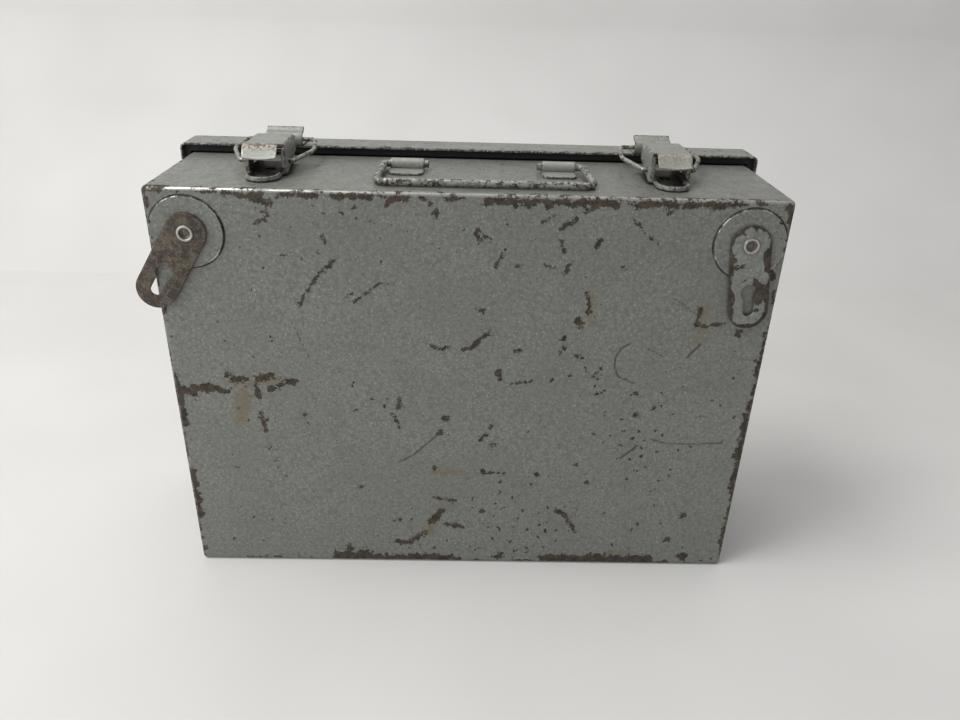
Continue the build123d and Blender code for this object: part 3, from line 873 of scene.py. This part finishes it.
# ------------------------------------------------------------------- the shells
def make_base():
    """The base: five walls of one sheet, with the hinge side stepped up behind the joggle."""
    step_y = 19.5
    step_z = 7.0
    xs = grid_lines(BASE_LOW.x, BASE_HIGH.x, 6)
    ys = grid_lines(BASE_LOW.y, BASE_HIGH.y, 6, (step_y,))
    zs = grid_lines(BASE_LOW.z, BASE_HIGH.z, 6, (step_z,))

    def inside(x, y, z):
        return z > step_z or y < step_y

    def open_at(place, axis, way):
        return axis == 1 and way == 1 and place[1] > BASE_HIGH.y - 0.1

    piece = cell_surface("base_body", xs, ys, zs, inside, open_at)
    round_edges(piece, 2.5, 5, 60)
    dent(piece, BASE_LOW, BASE_HIGH, 0.45)
    solidify(piece, SHEET)
    round_edges(piece, SHEET_EDGE, 2, 50)
    refine_front(piece, 4)
    paint_marks(piece)
    finish_piece(piece, "base", BASE_PAINT, ("base_shell",))


def make_lid():
    """The lid: a shallow pan, open towards the base, with its bottom lip cut back at the hinges."""
    lip_y = 30.0
    xs = grid_lines(LID_LOW.x, LID_HIGH.x, 6, (BASE_LOW.x, BASE_HIGH.x))
    ys = grid_lines(LID_LOW.y, LID_HIGH.y, 4, (lip_y,))
    zs = grid_lines(LID_LOW.z, LID_HIGH.z, 6)

    def open_at(place, axis, way):
        if axis == 1 and way == -1:
            return True
        return axis == 2 and way == -1 and place[1] < lip_y and abs(place[0]) < BASE_HIGH.x

    piece = cell_surface("lid_body", xs, ys, zs, lambda x, y, z: True, open_at)
    round_edges(piece, 3.0, 5, 60)
    dent(piece, LID_LOW, LID_HIGH, 0.5)
    solidify(piece, SHEET)
    round_edges(piece, SHEET_EDGE, 2, 50)
    finish_piece(piece, "lid", LID_PAINT, ("lid_shell",))


# ------------------------------------------------------------------- the handle
def make_clip(side):
    """A handle clip: a strap rolled round the wire, with a round-cornered flap in front."""
    node = f"handle_clip_{side}"
    low, high = span(node)
    pivot = PIVOTS["handle_hinge"]
    mid = TOP_Z + SHEET / 2
    radius = pivot.z - mid
    rows = route((low.y + 0.5, mid), 0, [("line", pivot.y - low.y - 0.5), ("arc", radius, 338)])
    corner = (high.x - low.x) / 4
    spans = []
    for y, z in rows:
        gap = max(0.0, low.y + corner - y) if z < mid + 0.2 else 0.0
        inset = corner - math.sqrt(max(0.0, corner * corner - gap * gap))
        spans.append((low.x + inset, high.x - inset))
    piece = sheet_sweep(node + "_strap", rows, spans)
    finish_piece(piece, "base", WORN_LATCH_PAINT, (node,), wear=1.2)


# ------------------------------------------------------------------ the latches
def make_latch_base(side):
    """The fixed plate of a latch: a cup with a raised round rim, and two ears for the pin."""
    node = f"latch_base_{side}"
    low, high = span(node)
    centre = (low.x + high.x) / 2
    radius = (high.x - low.x) / 2
    cup_y = low.y + radius
    back = high.y - cup_y
    rim_t = 1.5
    rim_h = 2.8
    rim_back = 7.2
    flat = Matrix.Translation(Vector((centre, cup_y, TOP_Z)))
    front = arc_points((0, 0), radius, 180, 360, 24)
    floor = plate(node + "_floor", [[(-radius, back)] + front + [(radius, back)]], SHEET, 0.2, flat)
    # The cup's floor is painted near black: painted shade of its hollow, with dirt.
    finish_piece(floor, "base", SHADE_AND_GRIME, (node,))

    inner = arc_points((0, 0), radius - rim_t, 360, 180, 24)
    wall = [(-radius, rim_back)] + front + [(radius, rim_back), (radius - rim_t, rim_back)]
    wall += inner + [(-radius + rim_t, rim_back)]
    rim = plate(node + "_rim", [wall], rim_h, 0.6, flat)
    finish_piece(rim, "base", LATCH_PAINT, wear=0.9)

    pivot = PIVOTS[f"lever_{side}_hinge"]
    ear_back = high.y - 1
    ear_front = pivot.y - 5.5
    ear_top = high.z - TOP_Z
    corner = 2.5
    lift = 0.2
    rounded = arc_points((ear_back - corner, ear_top - corner), corner, 0, 90, 6)
    rounded += arc_points((ear_front + corner, ear_top - corner), corner, 90, 180, 6)
    outline = [(ear_front, lift), (ear_back, lift)] + rounded
    rail_front = cup_y + 1
    rail_h = 4.2
    rail = [(rail_front, lift), (ear_front, lift), (ear_front, rail_h), (rail_front + 4, rail_h)]
    for name, x in (("near", -radius), ("far", radius - 1)):
        turn = Matrix(((0, 0, 1), (1, 0, 0), (0, 1, 0))).to_4x4()
        place = Matrix.Translation(Vector((centre + x, 0, TOP_Z))) @ turn
        ear = plate(f"{node}_ear_{name}", [outline], SHEET, 0.2, place)
        finish_piece(ear, "base", LATCH_PAINT, wear=0.8)
        side_rail = plate(f"{node}_rail_{name}", [rail], SHEET, 0.2, place)
        # The rails are painted near black: painted shade under the lever, with dirt.
        finish_piece(side_rail, "base", SHADE_AND_GRIME)


# The finger lips are narrower than their levers and not quite central.
LIP_HALF = 9.1
LIP_SHIFT = {"left": -1.6, "right": 0.6}


def make_lever(side):
    """The lever: one sheet folded to a channel, its front curled down into a worn finger lip."""
    node = f"latch_lever_{side}"
    low, high = span(node)
    pivot = PIVOTS[f"lever_{side}_hinge"]
    crease = pivot.y - 22.5
    back = pivot.y + 4.5
    foot = low.z
    half = (high.x - low.x) / 2
    bend = 1.6
    rows = 26
    lip_mid = pivot.x + LIP_SHIFT[side]
    lip_low, lip_high = lip_mid - LIP_HALF, lip_mid + LIP_HALF

    def lower_edge(y):
        """Height of a flange's lower edge: a rounded foot in front, then a slope up to the back."""
        share = (y - crease) / (back - crease)
        slope = foot + max(0.0, share - 0.12) * 8.2
        toe = max(0.0, 1 - share / 0.07)
        return slope + 2.2 * toe * toe

    def section(y):
        """The channel's outline at y, from the left flange's foot over the top to the right one's."""
        top = high.z
        bottom = lower_edge(y)
        drop = [bottom + (top - bend - bottom) * i / 8 for i in range(8)]
        left = [(-half, z) for z in drop]
        left += arc_points((-half + bend, top - bend), bend, 180, 108, 4)
        across = [(-half + bend + (2 * half - 2 * bend) * i / 16, top) for i in range(17)]
        right = [(-x, z) for x, z in reversed(left)]
        return left + across + right

    points = []
    for row in range(rows + 1):
        y = crease + (back - crease) * row / rows
        points += [(pivot.x + x, y, z) for x, z in section(y)]
    width = len(section(crease))
    faces = []
    for row in range(rows):
        for i in range(width - 1):
            corner = row * width + i
            faces.append((corner, corner + 1, corner + width + 1, corner + width))
    channel = add_mesh(node + "_channel", points, faces)
    solidify(channel, 1.1, 1.0 if channel.data.polygons[width // 2].normal.z < 0 else -1.0)
    turn = facing((1, 0, 0), (pivot.x - half - 2, pivot.y, pivot.z))
    cut(channel, lathe("bore", [(1.6, 0), (1.6, 2 * half + 4)], [turn], 24))
    round_edges(channel, 0.3, 2, 50)
    finish_piece(channel, f"lever_{side}", LATCH_PAINT, (node,), wear=1.8)

    # The flanges' front edges are folded in, so they show as broad strips.
    for name, way in (("near", -1), ("far", 1)):
        fold = [(0, foot - TOP_Z + 1.6)] + arc_points((-1.1, foot - TOP_Z + 1.1), 1.1, 0, -180, 8)
        fold += [(-2.2, high.z - TOP_Z - 3.4), (0, high.z - TOP_Z - 1.2)]
        turn = Matrix(((way, 0, 0), (0, 0, 1), (0, 1, 0))).to_4x4()
        place = Matrix.Translation(Vector((pivot.x + way * half, crease - 0.45, TOP_Z))) @ turn
        strip = plate(f"{node}_fold_{name}", [fold], 1.1, 0.35, place)
        finish_piece(strip, f"lever_{side}", LATCH_PAINT, wear=0.8)

    # The lip: it leaves the lever's top, curves down, and flares at its end.
    mid = high.z - SHEET / 2
    steps = [("line", 3.5), ("arc", 4, 55), ("line", 4.5), ("arc", 2.5, -45)]
    rows = route((crease + 3.5, mid), 180, steps)
    spans = []
    for y, z in rows:
        crown = 0.5 * max(0.0, (mid - z) / (mid - rows[-1][1])) ** 3
        spans.append((lip_low + crown, lip_high - crown))
    lip = sheet_sweep(node + "_lip", rows, spans, 16, SHEET - 0.04)
    for vertex in lip.data.vertices:
        place = vertex.co / MM
        share = (place.x - lip_mid) / LIP_HALF
        drop = max(0.0, min(1.0, (mid - place.z) / 6))
        vertex.co.z += 0.9 * share * share * drop * MM
        vertex.co.x += 0.15 * noise.noise(place / 3) * drop * MM
    lip_material = WORN_LIP if side == "left" else ROUGH_LIP
    finish_piece(lip, f"lever_{side}", lip_material, wear=2.0)


def lip_finish(name, pale, rust_amount, rough_amount):
    """The worn finish of a finger lip: pale rubbed paint, with rust along the crease."""
    graph = Graph(name)
    height = graph.axes()[2]
    crease_z = span("latch_lever_left")[1].z
    near_crease = graph.step(height, (crease_z - 3.4) * MM, (crease_z - 1.2) * MM)
    patch = graph.noise(1.6, 4.0, 0.65, 0.5)
    rust = graph.times(near_crease, graph.step(patch, 0.42, 0.58, 0, rust_amount))
    speck = graph.step(graph.noise(0.8, 3.0, 0.7, 0.9), 0.55, 0.75, 0, rough_amount)
    dull = (pale[0] * 0.8, pale[1] * 0.8, pale[2] * 0.78, 1)
    colour = graph.mix(graph.step(patch, 0.3, 0.7), pale, dull)
    colour = graph.mix(speck, colour, (0.12, 0.11, 0.095, 1))
    colour = graph.mix(rust, colour, (0.13, 0.07, 0.045, 1))
    glint = graph.times(graph.step(graph.stored("wear"), 0.6, 0.95), graph.step(patch, 0.4, 0.55))
    metallic = graph.blend(glint, 0.25, 0.85)
    bump = graph.bump(graph.times(graph.noise(1.0, 4.0, 0.7, 0.9), 0.12 + rough_amount * 0.25))
    rough = graph.blend(glint, 0.5, 0.35)
    return graph.finish(Base_Color=colour, Roughness=rough, Metallic=metallic, Normal=bump)


WORN_LIP = lip_finish("worn_lip", (0.36, 0.375, 0.345, 1), 1.0, 0.35)
ROUGH_LIP = lip_finish("rough_lip", (0.33, 0.33, 0.29, 1), 0.35, 0.6)


def make_pin(side):
    """The lever's pin, with peened ends."""
    node = f"latch_pin_{side}"
    low, high = span(node)
    length = high.x - low.x
    radius = (high.z - low.z) / 2
    profile = [(0.01, 0), (radius * 0.75, 0.03), (radius, 0.28), (radius, length - 0.28)]
    profile += [(radius * 0.75, length - 0.03), (0.01, length)]
    place = facing((1, 0, 0), (low.x, (low.y + high.y) / 2, (low.z + high.z) / 2))
    piece = lathe(node + "_peened", profile, [place], 28)
    finish_piece(piece, "base", RIVET, (node,))


def make_strike(side):
    """The strike: a strap riveted to the lid, rolled up and back over the bail and flared at its lip."""
    node = f"strike_{side}"
    low, high = span(node)
    mid = LID_HIGH.z + SHEET / 2
    roll = 3.5
    roll_y = low.y + SHEET / 2 + roll
    steps = [("line", high.y - roll_y), ("arc", roll, -180), ("arc", 3, 40), ("line", 2.6)]
    rows = route((high.y, mid), 180, steps)
    piece = sheet_sweep(node + "_strap", rows, [(low.x, high.x)] * len(rows), 16, SHEET - 0.02)
    finish_piece(piece, "lid", LATCH_PAINT, (node,), wear=1.6)


def rivet_profile(radius, shank, grip):
    """A domed head on a shank: (r, z) from the shank's end to the top of the dome."""
    angles = [math.radians(a) for a in range(0, 86, 17)]
    dome = [(radius * math.cos(a), grip + 0.25 + 0.65 * math.sin(a)) for a in angles]
    return [(0.01, 0), (shank, 0), (shank, grip), (radius, grip)] + dome + [(0.01, grip + 0.9)]


def make_rivets(node, body, places, grip=2.0, material=RIVET):
    """Domed rivets in place of a CAD group of disc-headed ones, with a flat clench inside."""
    inside = [(0.01, -0.9), (2.5, -0.9), (2.8, -0.65), (2.8, 0)]
    piece = lathe(node + "_domed", inside + rivet_profile(2.8, 1.6, grip)[1:], places, 24)
    finish_piece(piece, body, material, (node,))


# ------------------------------------------------------------- the wall hangers
def hanger_paint(name, side):
    """Paint of a hanger, worn brown round its outline and its keyhole."""
    graph = Graph(name)
    pivot = PIVOTS[f"hanger_{side}_pivot"]
    hole = MOUNTS[f"keyhole_{side}"]
    flat = Vector((1, 0, 1))
    start = pivot * flat
    end = start + (hole * flat - start).normalized() * HANGER_REACH
    place = graph.vector("MULTIPLY", graph.place, (1, 0, 1))
    wobble = graph.times(graph.less(graph.noise(3, 3.0, 0.6, 0.15), 0.5), 0.003)
    to_edge = graph.less(graph.less(HANGER_HALF * MM, from_line(graph, place, start, end)), wobble)
    reach = graph.step(graph.noise(8, 3.0, 0.5, 0.57), 0.35, 0.7, 0.0006, 0.0042)
    chip = graph.less(to_edge, reach)
    spots = graph.times(graph.less(0.66, graph.noise(6, 3.0, 0.5, 0.77)), 0.02)
    rim = graph.step(to_edge, 0.0006, 0.0001)
    bare = graph.distance(place, tuple(hole * flat * MM))
    bare = graph.plus(graph.less(bare, 0.0085), graph.times(wobble, 3.5))
    bare = graph.most(bare, graph.less((hole.x + 1) * MM, graph.axes()[0]))
    chip = graph.least(chip, graph.least(bare, spots))
    return painted(graph, chip, depth=0.06, polish=graph.times(rim, 0.7))


def make_hanger(side, material):
    """A keyhole hanger: a round-ended plate that swings on its rivet."""
    node = f"hanger_{side}"
    pivot = PIVOTS[f"hanger_{side}_pivot"]
    hole = MOUNTS[f"keyhole_{side}"]
    low, high = span(node)
    thickness = high.y - low.y
    down = Vector((hole.x - pivot.x, 0, hole.z - pivot.z)).normalized()
    across = Vector((0, -1, 0)).cross(down)
    turn = Matrix((across, down, Vector((0, -1, 0)))).transposed().to_4x4()
    place = Matrix.Translation(Vector((pivot.x, high.y, pivot.z))) @ turn
    outer = slot_outline(0, HANGER_REACH, HANGER_HALF, 28)
    pin = arc_points((0, 0), 3.3, 0, 345, 23)
    bulb_y, slot_end, bulb_r, slot_r = 26, 37, 4.35, 2.85
    lean = math.degrees(math.asin(slot_r / bulb_r))
    bulb = arc_points((0, bulb_y), bulb_r, 90 + lean, 450 - lean, 22)
    keyhole = bulb + arc_points((0, slot_end), slot_r, 0, 180, 12)
    piece = plate(node + "_plate", [outer, pin, keyhole], thickness, 0.4, place)
    for vertex in piece.data.vertices:
        if vertex.co.y / MM < high.y - thickness / 2:
            vertex.co.y += 0.12 * MM * max(0.0, noise.noise(vertex.co / MM / 9))
    finish_piece(piece, node, material, (node,))


def make_hanger_disc(side):
    """The raised disc under a hanger."""
    node = f"hanger_disc_{side}"
    low, high = span(node)
    pivot = PIVOTS[f"hanger_{side}_pivot"]
    radius = (high.x - low.x) / 2
    thick = high.y - low.y
    edge = 0.48
    rings = [(3.2 + (radius - edge - 3.2) * i / 14, thick) for i in range(15)]
    rim = arc_points((radius - edge, thick - edge), edge, 72, 0, 4)
    place = facing((0, -1, 0), (pivot.x, high.y, pivot.z))
    piece = lathe(node + "_raised", rings + rim + [(radius, 0.0)], [place], 96, False)
    paint_marks(piece)
    finish_piece(piece, "base", BASE_PAINT, (node,))


def make_hanger_rivet(side):
    """The semi-tubular rivet of a hanger: a rolled ring round a dimpled bore."""
    node = f"hanger_rivet_{side}"
    low, high = span(node)
    pivot = PIVOTS[f"hanger_{side}_pivot"]
    depth = high.y - low.y
    head_r, shank_r, bore_r, roll = 5.5, 3.2, 2.6, 0.93
    angles = [math.radians(a) for a in range(180, -1, -15)]
    profile = [(0.01, 0), (head_r, 0), (head_r, 1.0), (shank_r, 1.0)]
    profile += [(shank_r, depth - 0.95), (4.46, depth - 0.95)]
    profile += [(bore_r + roll * (1 - math.cos(a)), depth - 0.9 + 0.9 * math.sin(a)) for a in angles]
    profile += [(2.55, depth - 1.6), (1.9, depth - 1.9), (1.0, depth - 1.55), (0.01, depth - 1.5)]
    place = facing((0, -1, 0), (pivot.x, high.y, pivot.z))
    piece = lathe(node + "_rolled", profile, [place], 48)
    crown_r = 3.55
    crown = piece.data.attributes.new("wear", "FLOAT", "POINT")
    for vertex in piece.data.vertices:
        from_axis = math.hypot(vertex.co.x / MM - pivot.x, vertex.co.z / MM - pivot.z)
        crown.data[vertex.index].value = max(0.0, 1 - abs(from_axis - crown_r) / 1.1)
    finish_piece(piece, "base", ROLLED, (node,))


# ---------------------------------------------------------- nodes carried over
def carry_over():
    """Gives every CAD node that stays shown its own material."""
    for name, node in frame["nodes"].items():
        if name.startswith(("hinge_base_leaf", "hinge_lid_leaf", "hanger_washer")):
            material = PLATED
        elif name.startswith(("hinge_pin", "hinge_lid_rivets")):
            material = RIVET
        elif name.startswith(("latch_bail", "handle_wire")):
            material = WIRE_PAINT
        elif name == "lid_seal":
            material = RUBBER
        else:
            continue
        node.data.materials.clear()
        node.data.materials.append(material)


# --------------------------------------------------------------------- the stage
def make_stage():
    """A pale cloth sweep: a floor that curves up into a plain wall well behind the box."""
    path = route((-1400, 0), 0, [("line", 1850), ("arc", 260, 90), ("line", 1400)])
    path = path[:: max(1, len(path) // 400)] + [path[-1]]
    points = []
    for y, z in path:
        points += [(-2200, y, z), (2200, y, z)]
    faces = [(2 * i, 2 * i + 1, 2 * i + 3, 2 * i + 2) for i in range(len(path) - 1)]
    floor = add_mesh("stage_sweep", points, faces)
    floor.data.shade_smooth()
    graph = Graph("pale_cloth")
    shade = graph.noise(160, 2.0, 0.5)
    colour = graph.mix(graph.step(shade, 0.3, 0.7), (0.665, 0.66, 0.65, 1), (0.635, 0.63, 0.62, 1))
    floor.data.materials.append(graph.finish(Base_Color=colour, Roughness=0.9))


def add_light(name, place, target, size, power, colour):
    """A soft square area light."""
    light = bpy.data.lights.new(name, "AREA")
    light.size = size
    light.energy = power
    light.color = colour
    lamp = bpy.data.objects.new(name, light)
    lamp.location = place
    lamp.rotation_euler = (Vector(target) - Vector(place)).to_track_quat("-Z", "Y").to_euler()
    bpy.context.scene.collection.objects.link(lamp)


def make_lights():
    """A soft overhead light, a weak side fill and a pale surround."""
    add_light("key", (-0.75, -0.25, 1.45), (0.0, 0.0, 0.1), 0.7, 14, (1.0, 0.99, 0.97))
    add_light("overhead", (0.1, 0.5, 1.5), (0.0, 0.05, 0.15), 1.3, 5.5, (1.0, 0.99, 0.97))
    add_light("left_fill", (-1.2, -0.9, 0.7), (0, 0, 0.08), 1.0, 10, (0.99, 0.99, 1.0))
    world = bpy.data.worlds.new("surround")
    world.use_nodes = True
    world.node_tree.nodes["Background"].inputs["Color"].default_value = (0.95, 0.95, 0.95, 1)
    world.node_tree.nodes["Background"].inputs["Strength"].default_value = 0.42
    bpy.context.scene.world = world


def make_camera():
    """The camera: in front of the hanger face, level with the lid's top and looking down at the box."""
    yaw, pitch, roll = (math.radians(angle) for angle in (1.436, 26.89, 1.729))
    forward = Vector((math.sin(yaw) * math.cos(pitch), math.cos(yaw) * math.cos(pitch), -math.sin(pitch)))
    right = forward.cross(Vector((0, 0, 1))).normalized()
    up = right.cross(forward)
    right_rolled = right * math.cos(roll) + up * math.sin(roll)
    up_rolled = up * math.cos(roll) - right * math.sin(roll)
    data = bpy.data.cameras.new("camera")
    data.sensor_width = 36
    data.lens = 29.0
    camera = bpy.data.objects.new("camera", data)
    turn = Matrix((right_rolled, up_rolled, -forward)).transposed().to_4x4()
    camera.matrix_world = Matrix.Translation(Vector((-0.0028, -0.4348, 0.3391))) @ turn
    bpy.context.scene.collection.objects.link(camera)
    bpy.context.scene.camera = camera


# -------------------------------------------------------------------- put together
make_camera()
make_lights()
make_stage()
make_base()
make_lid()
HANGER_FINISH = {"left": RUST, "right": hanger_paint("hanger_paint", "right")}
for side in SIDES:
    make_clip(side)
    make_latch_base(side)
    make_lever(side)
    make_pin(side)
    make_strike(side)
    make_hanger_disc(side)
    make_hanger(side, HANGER_FINISH[side])
    make_hanger_rivet(side)
    lever_pivot = PIVOTS[f"lever_{side}_hinge"]
    base_rivets = [facing((0, 0, 1), (lever_pivot.x, y, TOP_Z - 1)) for y in (-31, -13)]
    # The rivets in the cup are painted near black: painted shade, with dirt.
    make_rivets(f"latch_base_rivets_{side}", "base", base_rivets, material=SHADE_AND_GRIME)
    strike_rivets = [facing((0, 0, 1), (lever_pivot.x + x, 40, LID_HIGH.z - 1)) for x in (-6, 6)]
    make_rivets(f"strike_rivets_{side}", "lid", strike_rivets)
hinge_x = 95
pitch = 18
hinge_xs = [sign * hinge_x + offset for sign in SIDES.values() for offset in (-pitch, 0, pitch)]
make_rivets("hinge_base_rivets", "base", [facing((0, 0, 1), (x, 36, 5.8)) for x in hinge_xs], 2.2)
carry_over()
bpy.context.scene.view_settings.view_transform = "Standard"
